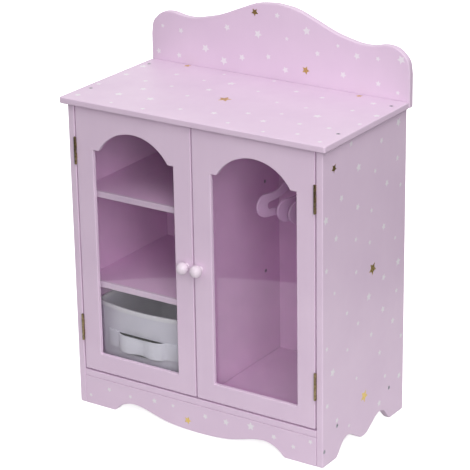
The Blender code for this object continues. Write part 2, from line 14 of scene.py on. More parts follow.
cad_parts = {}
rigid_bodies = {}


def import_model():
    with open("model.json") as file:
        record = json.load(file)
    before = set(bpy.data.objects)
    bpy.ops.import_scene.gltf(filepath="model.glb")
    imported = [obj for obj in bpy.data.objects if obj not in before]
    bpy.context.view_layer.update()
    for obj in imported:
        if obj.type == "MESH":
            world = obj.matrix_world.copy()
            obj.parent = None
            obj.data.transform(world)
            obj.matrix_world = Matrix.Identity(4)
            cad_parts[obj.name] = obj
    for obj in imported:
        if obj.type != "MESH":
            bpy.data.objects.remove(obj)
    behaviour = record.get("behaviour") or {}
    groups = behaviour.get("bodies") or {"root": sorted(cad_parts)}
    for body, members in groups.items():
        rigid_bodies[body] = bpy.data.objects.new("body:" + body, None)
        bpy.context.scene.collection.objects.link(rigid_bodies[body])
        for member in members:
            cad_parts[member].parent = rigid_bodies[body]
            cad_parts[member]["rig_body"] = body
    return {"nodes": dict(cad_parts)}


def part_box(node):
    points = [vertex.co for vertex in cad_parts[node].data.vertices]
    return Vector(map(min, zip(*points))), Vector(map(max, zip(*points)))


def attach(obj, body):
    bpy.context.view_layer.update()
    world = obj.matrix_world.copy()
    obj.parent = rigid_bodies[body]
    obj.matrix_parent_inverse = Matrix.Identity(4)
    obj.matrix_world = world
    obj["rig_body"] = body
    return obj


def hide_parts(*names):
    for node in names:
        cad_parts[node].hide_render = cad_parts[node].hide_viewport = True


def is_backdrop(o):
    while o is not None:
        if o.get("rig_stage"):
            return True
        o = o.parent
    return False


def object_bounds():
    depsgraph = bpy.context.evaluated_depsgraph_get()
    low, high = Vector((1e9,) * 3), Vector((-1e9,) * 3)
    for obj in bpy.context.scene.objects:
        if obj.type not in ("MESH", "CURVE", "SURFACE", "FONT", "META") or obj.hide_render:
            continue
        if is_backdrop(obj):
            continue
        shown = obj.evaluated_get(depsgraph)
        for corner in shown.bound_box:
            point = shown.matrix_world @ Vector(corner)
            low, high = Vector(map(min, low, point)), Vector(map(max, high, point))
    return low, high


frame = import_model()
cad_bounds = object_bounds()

QUARTER = math.pi / 2
SMOOTH_ANGLE = math.radians(38)
ROUND_STEPS = 3
FILLET_STEPS = 4
LEAST_CORNER = math.radians(40)

# Front plane of the doors: the wardrobe's depths are measured back from here
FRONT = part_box("door_frame_left")[0].y
LEFT_AND_RIGHT = (("left", -1), ("right", 1))
FRONT_AND_BACK = ("front", "back")


# Node materials

class Shader:
    """A material being built: its node tree, the object coordinates, and short ways to add nodes."""

    def __init__(self, name):
        self.material = bpy.data.materials.new(name)
        self.material.use_nodes = True
        self.tree = self.material.node_tree
        self.surface = self.tree.nodes["Principled BSDF"]
        self.output = self.tree.nodes["Material Output"]
        self.place = self.add("ShaderNodeTexCoord").outputs["Object"]

    def add(self, kind, **settings):
        node = self.tree.nodes.new(kind)
        for key, value in settings.items():
            setattr(node, key, value)
        return node

    def join(self, source, target):
        self.tree.links.new(source, target)

    def math(self, operation, first, second):
        node = self.add("ShaderNodeMath", operation=operation)
        for value, socket in ((first, node.inputs[0]), (second, node.inputs[1])):
            if isinstance(value, bpy.types.NodeSocket):
                self.join(value, socket)
            else:
                socket.default_value = value
        return node.outputs["Value"]

    def scaled(self, value, factor):
        return self.math("MULTIPLY", value, factor)

    def within(self, low, high):
        """1 inside a box in the object's coordinates and 0 outside it."""
        split = self.add("ShaderNodeSeparateXYZ")
        self.join(self.place, split.inputs["Vector"])
        share = 1.0
        for along, floor, ceiling in zip(split.outputs, low, high):
            share = self.math("MULTIPLY", share, self.math("GREATER_THAN", along, floor))
            share = self.math("MULTIPLY", share, self.math("LESS_THAN", along, ceiling))
        return share

    def noise(self, scale, stretch=(1, 1, 1), detail=2.0):
        """Noise with about scale blotches in a metre, stretched along each axis. About 0.5 on average."""
        mapping = self.add("ShaderNodeMapping")
        mapping.inputs["Scale"].default_value = stretch
        self.join(self.place, mapping.inputs["Vector"])
        texture = self.add("ShaderNodeTexNoise")
        texture.inputs["Scale"].default_value = scale
        texture.inputs["Detail"].default_value = detail
        self.join(mapping.outputs["Vector"], texture.inputs["Vector"])
        return texture.outputs["Fac"]

    def ranged(self, source, low, high, spread=0.18):
        """The source, which runs about spread either side of 0.5, made to run from low to high."""
        node = self.add("ShaderNodeMapRange")
        node.inputs["From Min"].default_value = 0.5 - spread
        node.inputs["From Max"].default_value = 0.5 + spread
        node.inputs["To Min"].default_value = low
        node.inputs["To Max"].default_value = high
        self.join(source, node.inputs["Value"])
        return node.outputs["Result"]

    def blend(self, share, first, second):
        """A colour between two colours, each a tuple or a socket."""
        node = self.add("ShaderNodeMix", data_type="RGBA")
        self.join(share, node.inputs["Factor"])
        for socket, colour in ((node.inputs[6], first), (node.inputs[7], second)):
            if isinstance(colour, tuple):
                socket.default_value = (*colour, 1)
            else:
                self.join(colour, socket)
        return node.outputs[2]

    def bump(self, *layers):
        """Surface relief from (height socket, strength, depth in metres) layers."""
        normal = None
        for height, strength, depth in layers:
            node = self.add("ShaderNodeBump")
            node.inputs["Strength"].default_value = strength
            node.inputs["Distance"].default_value = depth
            self.join(height, node.inputs["Height"])
            if normal is not None:
                self.join(normal, node.inputs["Normal"])
            normal = node.outputs["Normal"]
        self.join(normal, self.surface.inputs["Normal"])

    def set(self, **values):
        for key, value in values.items():
            self.surface.inputs[key.replace("_", " ")].default_value = value


def painted_shade_room():
    """The box of the cabinet's inner faces, from just behind the shelves' front edges to the back, where the
    paint takes a painted shade.
    """
    spare = 0.0005
    behind_the_edges = 0.004
    floor_low, floor_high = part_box("bottom_panel")
    shelf_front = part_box("lower_shelf")[0].y
    back_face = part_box("back_panel")[0].y
    top_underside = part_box("top_panel")[0].z
    low = (floor_low.x - spare, shelf_front + behind_the_edges, floor_high.z - 2 * spare)
    high = (floor_high.x + spare, back_face + 2 * spare, top_underside + spare)
    return low, high


def satin_paint(name, outside, inside, gloss_low, gloss_high):
    """Sprayed paint on board: faint clouds, fainter upright streaks from the fibres, and orange peel.

    The outside and inside are (pale, deep) tones. The inside tones are a painted shade: the deeper, more
    saturated colour of the shade that falls on the cabinet's inner faces.
    """
    made = Shader(name)
    clouds = made.ranged(made.noise(11, detail=4), 0, 1)
    # painted shade: inside this box the paint takes the deeper inside tones
    within = made.within(*painted_shade_room())
    pale, deep = (made.blend(within, a, b) for a, b in zip(outside, inside))
    streaks = made.ranged(made.noise(7, stretch=(26, 26, 1), detail=3), 0, 0.5)
    speckle = made.ranged(made.noise(900, detail=1), 0, 1)
    clouded = made.blend(clouds, pale, deep)
    streaked = made.blend(made.scaled(streaks, 0.4), clouded, deep)
    share = made.ranged(speckle, 0.0, 0.12, spread=0.5)
    made.join(made.blend(share, streaked, deep), made.surface.inputs["Base Color"])
    made.join(made.ranged(made.noise(60), gloss_low, gloss_high), made.surface.inputs["Roughness"])
    made.bump((made.noise(520, detail=1), 0.10, 0.0006), (made.noise(90, detail=2), 0.05, 0.0015))
    return made.material


def gloss_paint():
    """The knobs' thicker, shinier coat, with soft runs."""
    made = Shader("knob_gloss_paint")
    tone = made.ranged(made.noise(160), 0, 1)
    made.join(made.blend(tone, (0.84, 0.72, 0.82), (0.80, 0.68, 0.78)), made.surface.inputs["Base Color"])
    made.join(made.ranged(made.noise(300), 0.22, 0.30), made.surface.inputs["Roughness"])
    made.bump((made.noise(260, detail=1), 0.08, 0.0006))
    return made.material


def metal(name, bright, dull, roughness, scratch_scale):
    """Plated metal with tarnish patches and fine scratches along its length."""
    made = Shader(name)
    tarnish = made.ranged(made.noise(300, detail=4), 0, 1)
    made.join(made.blend(tarnish, bright, dull), made.surface.inputs["Base Color"])
    made.set(Metallic=1.0)
    scratches = made.noise(scratch_scale, stretch=(1, 1, 0.05), detail=2)
    made.join(made.ranged(scratches, roughness - 0.08, roughness + 0.12), made.surface.inputs["Roughness"])
    made.bump((scratches, 0.12, 0.0002))
    return made.material


def moulded_plastic(name, colour, shade, roughness):
    """Opaque moulded plastic with a fine moulded grain, as a Shader that can be added to."""
    made = Shader(name)
    tone = made.ranged(made.noise(25, detail=3), 0, 1)
    made.join(made.blend(tone, colour, shade), made.surface.inputs["Base Color"])
    gloss = made.ranged(made.noise(200), roughness - 0.04, roughness + 0.05)
    made.join(gloss, made.surface.inputs["Roughness"])
    made.bump((made.noise(800, detail=1), 0.10, 0.0003))
    return made


def translucent_plastic(name, colour, shade, roughness, share, rim=None):
    """Milky plastic: a moulded surface that also passes some of the light that falls on its far side.

    A rim, as (low corner, high corner, colour), is a box painted a paler colour: a painted highlight along
    the bin's lit lip.
    """
    made = moulded_plastic(name, colour, shade, roughness)
    if rim:
        low, high, paler = rim
        base = made.surface.inputs["Base Color"]
        # painted highlight: the rim box is painted paler, as if lit
        made.join(made.blend(made.within(low, high), base.links[0].from_socket, paler), base)
    glow = made.add("ShaderNodeBsdfTranslucent")
    glow.inputs["Color"].default_value = (*colour, 1)
    mix = made.add("ShaderNodeMixShader")
    mix.inputs["Fac"].default_value = share
    made.join(made.surface.outputs["BSDF"], mix.inputs[1])
    made.join(glow.outputs["BSDF"], mix.inputs[2])
    made.join(mix.outputs["Shader"], made.output.inputs["Surface"])
    return made.material


HEAD_ON_MIRROR = 0.04


def clear_plastic():
    """A flat clear pane with a little dust. It mirrors little head on and more at a slant (Schlick)."""
    made = Shader("clear_pane_plastic")
    made.tree.nodes.remove(made.surface)
    through = made.add("ShaderNodeBsdfTransparent")
    dust = made.ranged(made.noise(40, detail=4), 0, 1)
    made.join(made.blend(dust, (0.995, 0.995, 0.995), (0.975, 0.975, 0.98)), through.inputs["Color"])
    mirror = made.add("ShaderNodeBsdfGlossy")
    made.join(made.ranged(made.noise(70, detail=3), 0.01, 0.04), mirror.inputs["Roughness"])
    slant = made.add("ShaderNodeLayerWeight")
    slant.inputs["Blend"].default_value = 0.5
    steep = made.math("POWER", slant.outputs["Facing"], 5)
    share = made.add("ShaderNodeMapRange")
    share.inputs["To Min"].default_value = HEAD_ON_MIRROR
    made.join(steep, share.inputs["Value"])
    mix = made.add("ShaderNodeMixShader")
    made.join(share.outputs["Result"], mix.inputs["Fac"])
    made.join(through.outputs["BSDF"], mix.inputs[1])
    made.join(mirror.outputs["BSDF"], mix.inputs[2])
    made.join(mix.outputs["Shader"], made.output.inputs["Surface"])
    return made.material


def printed_ink(name, colour, shade, roughness, metallic=0.0):
    made = Shader(name)
    tone = made.ranged(made.noise(700), 0, 1)
    made.join(made.blend(tone, colour, shade), made.surface.inputs["Base Color"])
    made.set(Metallic=metallic)
    gloss = made.ranged(made.noise(500), roughness - 0.05, roughness + 0.05)
    made.join(gloss, made.surface.inputs["Roughness"])
    return made.material


BIN_LIP_HEIGHT = 0.006


def rim_highlight_box(paler):
    """The box of the bin's rim, with the paler colour of a painted highlight along its lit lip."""
    low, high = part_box("storage_bin")
    spare = 0.001
    floor = (low.x - spare, low.y - spare, high.z - BIN_LIP_HEIGHT)
    ceiling = (high.x + spare, high.y + spare, high.z + spare)
    return floor, ceiling, paler


FINISH = {
    "painted_board": satin_paint(
        "lilac_satin_paint",
        ((0.80, 0.63, 0.785), (0.755, 0.585, 0.745)),
        # The inside tones: painted shade, deeper and more saturated, for the cabinet's shaded inner faces
        ((0.82, 0.53, 0.785), (0.78, 0.495, 0.745)),
        0.36, 0.48,
    ),
    "painted_knob": gloss_paint(),
    "clear_pane": clear_plastic(),
    "brass": metal("antique_brass", (0.42, 0.34, 0.18), (0.17, 0.13, 0.07), 0.34, 900),
    "steel": metal("zinc_steel", (0.50, 0.50, 0.53), (0.30, 0.30, 0.33), 0.32, 700),
    "magnet_housing": moulded_plastic("white_nylon", (0.80, 0.79, 0.78), (0.74, 0.73, 0.72), 0.45).material,
    "white_plastic": translucent_plastic(
        "white_polymer", (0.93, 0.92, 0.98), (0.89, 0.88, 0.94), 0.35, 0.4
    ),
    # The frosted bin has a painted highlight along its rim
    "frosted_plastic": translucent_plastic(
        "frosted_polymer_and_rim_highlight", (0.89, 0.87, 0.95), (0.85, 0.83, 0.91), 0.42, 0.35, rim_highlight_box((0.97, 0.96, 0.98))
    ),
    "hanger_plastic": translucent_plastic(
        "lilac_polymer", (0.84, 0.62, 0.83), (0.80, 0.58, 0.80), 0.22, 0.4
    ),
}
PALE_INK = printed_ink("pale_star_ink", (0.86, 0.81, 0.865), (0.82, 0.77, 0.825), 0.4)
GOLD_FOIL = printed_ink("gold_star_foil", (0.78, 0.58, 0.20), (0.70, 0.50, 0.16), 0.30, metallic=1.0)


# Pieces

def mesh_object(name, bm):
    """A new object in the scene that takes its shape from bm."""
    bmesh.ops.recalc_face_normals(bm, faces=bm.faces)
    mesh = bpy.data.meshes.new(name)
    bm.to_mesh(mesh)
    bm.free()
    made = bpy.data.objects.new(name, mesh)
    bpy.context.collection.objects.link(made)
    return made


def piece(name, bm, slot, nodes=(), body=None, surface=None, flat_faces=False):
    """Make bm a piece of the model. It rides with the CAD nodes that it stands for, or else on body."""
    made = mesh_object(name, bm)
    made.data.materials.append(surface or FINISH[slot])
    made.data.shade_smooth()
    made.data.set_sharp_from_angle(angle=SMOOTH_ANGLE)
    if flat_faces:
        made.modifiers.new("flat_faces", "WEIGHTED_NORMAL").keep_sharp = True
    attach(made, body or frame["nodes"][nodes[0]]["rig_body"])
    if nodes:
        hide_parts(*nodes)
    return made


def middle_of(node):
    low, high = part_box(node)
    return (low + high) / 2


# Flat outlines. Every loop keeps its material on the left: outlines turn left, and holes turn right.

def arc(centre, radius, start, end, steps):
    """Points on a circle from one angle to another, both ends included."""
    angles = [start + (end - start) * i / steps for i in range(steps + 1)]
    return [Vector((centre[0] + radius * math.cos(a), centre[1] + radius * math.sin(a))) for a in angles]


def ring(centre, radius, sides):
    return arc(centre, radius, 0, 2 * math.pi * (sides - 1) / sides, sides - 1)


def hole(loop):
    return list(reversed(loop))


def mirrored(right):
    """The left half of a symmetric outline, from its right half."""
    return [Vector((-x, y)) for x, y in reversed(right)]


def rectangle(low, high):
    return [Vector(low), Vector((high[0], low[1])), Vector(high), Vector((low[0], high[1]))]


def curve(keys, steps):
    """A smooth line through the key points (Catmull-Rom)."""
    padded = [Vector(k) for k in (keys[0], *keys, keys[-1])]
    points = []
    for a, b, c, d in zip(padded, padded[1:], padded[2:], padded[3:]):
        for i in range(steps):
            t = i / steps
            points.append(
                a * (-0.5 * t + t * t - 0.5 * t ** 3)
                + b * (1 - 2.5 * t * t + 1.5 * t ** 3)
                + c * (0.5 * t + 2 * t * t - 1.5 * t ** 3)
                + d * (-0.5 * t * t + 0.5 * t ** 3)
            )
    return [*points, padded[-1]]


def bends(loop):
    """(point, way in, way out, turn) for each point of a closed loop."""
    for before, here, after in zip(loop[-1:] + loop[:-1], loop, loop[1:] + loop[:1]):
        way_in = (here - before).normalized()
        way_out = (after - here).normalized()
        yield here, way_in, way_out, way_in.angle_signed(way_out)


def filleted(loop, radius, special=None, steps=FILLET_STEPS):
    """The loop with its sharp corners rounded. Special radii are given by the corner's number."""
    points = []
    for corner, (here, way_in, way_out, turn) in enumerate(bends(loop)):
        if abs(turn) < LEAST_CORNER:
            points.append(here)
            continue
        back = (special or {}).get(corner, radius) * math.tan(abs(turn) / 2)
        start = here - way_in * back
        end = here + way_out * back
        for i in range(steps + 1):
            t = i / steps
            weight = 2 * t * (1 - t) * math.cos(turn / 2)
            total = (1 - t) ** 2 + weight + t ** 2
            points.append((start * (1 - t) ** 2 + here * weight + end * t ** 2) / total)
    return points


def inset(loop, distance):
    """The loop moved into its material."""
    moved = []
    for here, way_in, way_out, _ in bends(loop):
        left_in = Vector((-way_in.y, way_in.x))
        left_out = Vector((-way_out.y, way_out.x))
        moved.append(here + (left_in + left_out) * (distance / (1 + left_in.dot(left_out))))
    return moved


def rounding(radius):
    """(inset, depth) pairs of a rounded edge, from the wall to the face."""
    if radius == 0:
        return [(0, 0)]
    turns = [QUARTER * i / ROUND_STEPS for i in range(ROUND_STEPS + 1)]
    return [(radius * (1 - math.cos(a)), radius * (1 - math.sin(a))) for a in turns]


def wall(loop, low, high, radius, low_radius=None):
    """The levels of a wall from low to high with both its edges rounded: (loop, level) pairs."""
    bottom = rounding(radius if low_radius is None else low_radius)
    levels = [(inset(loop, d), low + depth) for d, depth in reversed(bottom)]
    return levels + [(inset(loop, d), high - depth) for d, depth in rounding(radius)]


def solid(walls, lift):
    """A closed solid between walls, the outline's and then the holes'. lift(u, v, level) places a point."""
    bm = bmesh.new()
    caps = ([], [])
    for levels in walls:
        rings = [[bm.verts.new(lift(u, v, level)) for u, v in loop] for loop, level in levels]
        for low, high in zip(rings, rings[1:]):
            for i in range(len(low)):
                bm.faces.new((low[i - 1], low[i], high[i], high[i - 1]))
        caps[0].append(rings[0])
        caps[1].append(rings[-1])
    for loops in caps:
        if len(loops) == 1:
            bm.faces.new(loops[0])
            continue
        edges = [bm.edges.get((loop[i - 1], loop[i])) for loop in loops for i in range(len(loop))]
        bmesh.ops.triangle_fill(bm, edges=edges, use_beauty=True, use_dissolve=False)
    return bm


LIFTS = {
    "xy": lambda u, v, level: (u, v, level),
    "xz": lambda u, v, level: (u, level, v),
    "yz": lambda u, v, level: (level, u, v),
}


def plane_of(node, plane):
    """A node's box seen across a plane: the low corner, the high corner, and the two faces' levels."""
    low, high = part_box(node)
    first, second, across = {"xy": (0, 1, 2), "xz": (0, 2, 1), "yz": (1, 2, 0)}[plane]
    return (low[first], low[second]), (high[first], high[second]), low[across], high[across]


def flat_piece(name, walls, plane, slot):
    """A flat-faced piece drawn across a plane, which stands for the CAD node of its name."""
    return piece(name, solid(walls, LIFTS[plane]), slot, [name], flat_faces=True)


def board(name, plane, radius=0.001, corner=0.0012, holes=(), outline=None):
    """A painted board that stands for the CAD node of its name, with eased edges and round screw holes."""
    low, high, start, end = plane_of(name, plane)
    loop = filleted(outline or rectangle(low, high), corner)
    walls = [wall(loop, start, end, radius)]
    walls += [wall(hole(ring(at, HOLE_RADIUS, 20)), start, end, HOLE_EDGE) for at in holes]
    return flat_piece(name, walls, plane, "painted_board")


def facing(at, direction):
    """The placing of a shape that is drawn about the origin and along Z."""
    return Matrix.Translation(at) @ Vector(direction).to_track_quat("Z", "Y").to_matrix().to_4x4()


def turned(profile, at, direction, sides):
    """A solid turned from (radius, distance) points, starting and ending on the axis."""
    place = facing(at, direction)
    bm = bmesh.new()
    rings = []
    for radius, distance in profile:
        count = sides if radius > 0 else 1
        points = [
            Vector((radius * math.cos(a), radius * math.sin(a), distance))
            for a in (2 * math.pi * i / count for i in range(count))
        ]
        rings.append([bm.verts.new(place @ p) for p in points])
    for low, high in zip(rings, rings[1:]):
        for i in range(sides):
            corners = (low[i - 1 if len(low) > 1 else 0], low[i % len(low)])
            corners += (high[i % len(high)], high[i - 1 if len(high) > 1 else 0])
            bm.faces.new(list(dict.fromkeys(corners)))
    return bm


def joined(*parts):
    """One bmesh that holds the closed shells of several."""
    whole = bmesh.new()
    for part in parts:
        bmesh.ops.recalc_face_normals(part, faces=part.faces)
        scratch = bpy.data.meshes.new("scratch")
        part.to_mesh(scratch)
        part.free()
        whole.from_mesh(scratch)
        bpy.data.meshes.remove(scratch)
    return whole


# Screws

HOLE_RADIUS = 0.0029
HOLE_EDGE = 0.0002
HEAD_RADIUS = 0.0026
HEAD_DEPTH = 0.0018
HEAD_EDGE = 0.0003
HEAD_SIDES = 28
SCREW_SHOWN = 0.004
HEX_RADIUS = 0.0014
SOCKET_DEPTH = 0.0012


def screw_shape(at, outward, radius=HEAD_RADIUS, depth=HEAD_DEPTH, edge=HEAD_EDGE, length=SCREW_SHOWN):
    """A screw with a hexagon socket, its head's face at the point given."""
    place = facing(at, outward)
    rim = ring((0, 0), radius, HEAD_SIDES)
    socket = hole(ring((0, 0), HEX_RADIUS, 6))
    head = solid(
        [wall(rim, -SOCKET_DEPTH, 0, edge, 0), wall(socket, -SOCKET_DEPTH, 0, 0.0001, 0)],
        lambda u, v, level: place @ Vector((u, v, level)),
    )
    shank = 0.6 * radius
    body = [
        (0, -SOCKET_DEPTH), (radius, -SOCKET_DEPTH), (radius, -depth),
        (shank, -depth), (shank, -length), (0, -length),
    ]
    return joined(head, turned(body, at, outward, HEAD_SIDES))


def screws():
    """Every screw in the boards, flush with the face that its CAD node reaches."""
    outward_of = {"top_screw": (0, 0, 1), "crest_screw": (0, 1, 0), "shelf_screw": (1, 0, 0)}
    for name in [n for n in frame["nodes"] if "_screw_" in n and not n.startswith("knob")]:
        kind = "_".join(name.split("_")[:2])
        sideways = (-1 if "_left_" in name else 1, 0, 0)
        outward = Vector(outward_of.get(kind, sideways))
        low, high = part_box(name)
        length = abs((high - low).dot(outward))
        at = (low + high + outward * length) / 2
        piece(name, screw_shape(at, outward), "steel", [name], flat_faces=True)


# Cabinet

RAIL_SIDES = 48


def foot_line(centre):
    """The wavy lower edge of a side, from back to front: two arches with a low lobe between them."""
    rise = [
        (0, 0.0030), (0.008, 0.0042), (0.016, 0.0086), (0.024, 0.0135), (0.031, 0.0180), (0.038, 0.0210),
        (0.045, 0.0218), (0.052, 0.0198), (0.057, 0.0170), (0.062, 0.0115), (0.067, 0.0055), (0.073, 0),
    ]
    half = curve(rise, 3)
    before = [Vector((centre - x, z)) for x, z in reversed(half)]
    return before + [Vector((centre + x, z)) for x, z in half[1:]]


def side_panels():
    for side, _ in LEFT_AND_RIGHT:
        low, high, _, _ = plane_of(f"side_panel_{side}", "yz")
        outline = [Vector(low)] + foot_line((low[0] + high[0]) / 2)
        outline += [Vector((high[0], low[1])), Vector(high), Vector((low[0], high[1]))]
        spots = ("apron", "floor_front", "floor_back")
        heads = [middle_of(f"side_screw_{side}_{spot}") for spot in spots]
        board(f"side_panel_{side}", "yz", 0.0012, 0.0015, [(h.y, h.z) for h in heads], outline)


def top_and_crest():
    corners = [f"{side}_{end}" for side, _ in LEFT_AND_RIGHT for end in FRONT_AND_BACK]
    heads = [middle_of(f"top_screw_{corner}") for corner in corners]
    board("top_panel", "xy", 0.0016, 0.003, [(h.x, h.y) for h in heads])

    slab_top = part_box("top_panel")[1].z
    rise = [
        (0, 0.1072), (0.0315, 0.1034), (0.063, 0.0914), (0.0945, 0.0785), (0.126, 0.0707),
        (0.1418, 0.0689), (0.1554, 0.0698), (0.1733, 0.0731), (0.189, 0.0710), (0.1995, 0.0640),
        (0.2073, 0.0539), (0.210, 0.0368),
    ]
    low, high, _, _ = plane_of("crest_board", "xz")
    wave = [Vector((x, slab_top + z)) for x, z in reversed(curve(rise, 4))]
    outline = [Vector(low), Vector((high[0], low[1]))] + wave + mirrored(wave[:-1])
    heads = [middle_of(f"crest_screw_{side}") for side, _ in LEFT_AND_RIGHT]
    board("crest_board", "xz", 0.0016, 0.0015, [(h.x, h.z) for h in heads], outline)


def inner_boards():
    board("bottom_panel", "xy", 0.0009)
    board("back_panel", "xz", 0.0009)
    places = [f"{level}_{end}" for level in ("lower", "upper") for end in FRONT_AND_BACK]
    heads = [middle_of(f"shelf_screw_{place}") for place in places]
    board("centre_divider", "yz", 0.0009, holes=[(h.y, h.z) for h in heads])
    for name in ("lower_shelf", "upper_shelf"):
        board(name, "xy", 0.0009)


def apron():
    """The front skirt: a wide foot at each end, and a shallow double arch between them."""
    low, high, _, _ = plane_of("front_apron", "xz")
    rise = [
        (0, 0.0007), (0.021, 0.0013), (0.038, 0.0026), (0.0546, 0.0049), (0.072, 0.0093), (0.089, 0.0141),
        (0.106, 0.0168), (0.117, 0.0156), (0.126, 0.0122), (0.133, 0.0078), (0.139, 0.0020), (0.1425, 0),
    ]
    half = curve(rise, 3)
    outline = [Vector(low)] + mirrored(half) + half[1:]
    outline += [Vector((high[0], low[1])), Vector(high), Vector((low[0], high[1]))]
    board("front_apron", "xz", 0.0008, 0.0012, outline=outline)


def magnet_catches():
    """A nylon housing with two steel poles that stand just proud of its front."""
    pole_half = 0.0035
    proud = 0.0002
    sunk = 0.002
    for side, _ in LEFT_AND_RIGHT:
        name = f"magnet_catch_{side}"
        low, high, start, end = plane_of(name, "xz")
        housing = wall(filleted(rectangle(low, high), 0.0015), start, end, 0.0008)
        flat_piece(name, [housing], "xz", "magnet_housing")
        poles = []
        for share in (0.3, 0.7):
            middle = low[0] + share * (high[0] - low[0])
            bar = rectangle((middle - pole_half, low[1] + 0.002), (middle + pole_half, high[1] - 0.0025))
            levels = wall(filleted(bar, 0.0004), start - proud, start + sunk, 0.0001)
            poles.append(solid([levels], LIFTS["xz"]))
        piece(f"magnet_poles_{side}", joined(*poles), "steel", body="cabinet", flat_faces=True)


def rail():
    """The hanging rail, and a flanged cup for each of its ends."""
    low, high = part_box("hanging_rod")
    radius = (high.z - low.z) / 2
    length = high.x - low.x
    middle = middle_of("hanging_rod")
    ease = 0.0004
    profile = [
        (0, 0), (radius - ease, 0), (radius, ease),
        (radius, length - ease), (radius - ease, length), (0, length),
    ]
    rod = turned(profile, (low.x, middle.y, middle.z), (1, 0, 0), RAIL_SIDES)
    piece("hanging_rod", rod, "painted_board", ["hanging_rod"])
    for side, sign in LEFT_AND_RIGHT:
        name = f"rod_socket_{side}"
        low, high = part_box(name)
        flange = (high.z - low.z) / 2
        depth = high.x - low.x
        cup = flange - 0.0025
        bore = radius + 0.0003
        shape = [
            (0, 0), (flange - 0.0003, 0), (flange, 0.0003), (flange, 0.0014), (flange - 0.0003, 0.0018),
            (cup + 0.0008, 0.002), (cup + 0.0002, 0.0023), (cup, 0.003), (cup, depth - 0.0005),
            (cup - 0.0005, depth), (bore + 0.0004, depth), (bore, depth - 0.0004), (bore, 0.002),
            (0, 0.002),
        ]
        base = (low.x if sign < 0 else high.x, middle.y, middle.z)
        piece(name, turned(shape, base, (-sign, 0, 0), RAIL_SIDES), "white_plastic", [name])


# Doors

PANE_GROW = 0.0064
RABBET_GROW = 0.007
BEAD_GROW = 0.0025
RABBET_DEPTH = 0.0055
ARCH_RADIUS = 0.0668
LEDGE_ABOVE_ARCH_CENTRE = 0.0346
ARCH_FOOT_FILLET = 0.003
LEAST_FILLET = 0.0002
WINDOW_FILLET = 0.0005
ARCH_STEPS = 44

# What sits on a door stands this far off it
DOOR_GAP = 0.0003
KNOB_NECK = 0.0038
BALL_STEPS = 18


def window(side, grow):
    """A door's window, grown outward all round: a straight lower part, two ledges and an arch."""
    low, high, _, _ = plane_of(f"window_pane_{side}", "xz")
    centre = (low[0] + high[0]) / 2
    half = (high[0] - low[0]) / 2 - PANE_GROW + grow
    sill = low[1] + PANE_GROW - grow
    radius = ARCH_RADIUS + grow
    arch_centre = high[1] - PANE_GROW - ARCH_RADIUS
    ledge = arch_centre + LEDGE_ABOVE_ARCH_CENTRE + grow
    foot = math.asin((ledge - arch_centre) / radius)
    arch = arc((centre, arch_centre), radius, foot, math.pi - foot, ARCH_STEPS)
    loop = [Vector((centre - half, sill)), Vector((centre + half, sill)), Vector((centre + half, ledge))]
    loop += arch + [Vector((centre - half, ledge))]
    foot_fillet = max(LEAST_FILLET, ARCH_FOOT_FILLET - grow)
    arch_feet = {3: foot_fillet, len(loop) - 2: foot_fillet}
    return hole(filleted(loop, WINDOW_FILLET + max(grow, 0) / 4, arch_feet))


def door(side):
    """The frame with its rabbeted window, the pane in the rabbet, and the bead that holds the pane."""
    name = f"door_frame_{side}"
    low, high, front, back = plane_of(name, "xz")
    ease = 0.0011
    outer = wall(filleted(rectangle(low, high), 0.0015), front, back, ease)
    opening = [(window(side, d), front + depth) for d, depth in reversed(rounding(ease))]
    opening += [(window(side, 0), front + RABBET_DEPTH)]
    opening += [(window(side, RABBET_GROW), level) for level in (front + RABBET_DEPTH, back)]
    flat_piece(name, [outer, opening], "xz", "painted_board")

    name = f"window_pane_{side}"
    _, _, near, far = plane_of(name, "xz")
    outline = hole(window(side, PANE_GROW))
    flat_piece(name, [wall(outline, near, far, 0.0002)], "xz", "clear_pane")

    name = f"pane_bead_{side}"
    _, _, near, far = plane_of(name, "xz")
    inner = [(window(side, BEAD_GROW), near)]
    inner += [(window(side, BEAD_GROW + d), far - depth) for d, depth in rounding(0.0006)]
    flat_piece(name, [wall(outline, near, far, 0.0001), inner], "xz", "painted_board")


def knob(side):
    """A turned ball on a short waisted neck, with a small collar against the door."""
    name = f"knob_{side}"
    low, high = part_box(name)
    centre = (low + high) / 2
    radius = (high.x - low.x) / 2
    reach = FRONT - low.y
    ball_at = reach - radius
    start = math.asin(KNOB_NECK / radius)
    angles = [start + (math.pi - start) * i / BALL_STEPS for i in range(BALL_STEPS)]
    ball = [(radius * math.sin(a), ball_at - radius * math.cos(a)) for a in angles]
    collar = [
        (0, DOOR_GAP), (0.0043, DOOR_GAP), (0.0047, 0.0006),
        (0.0046, 0.0010), (0.0041, 0.0014), (KNOB_NECK, 0.0020),
    ]
    profile = collar + ball + [(0, reach)]
    at = (centre.x, FRONT, centre.z)
    piece(name, turned(profile, at, (0, -1, 0), 48), "painted_knob", [name])

    name = f"knob_screw_{side}"
    low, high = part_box(name)
    head = (high.x - low.x) / 2
    rise = high.y - (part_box(f"door_frame_{side}")[1].y + DOOR_GAP)
    at = (centre.x, high.y, centre.z)
    piece(name, screw_shape(at, (0, 1, 0), head, rise, 0.0008, 0.012), "steel", [name], flat_faces=True)


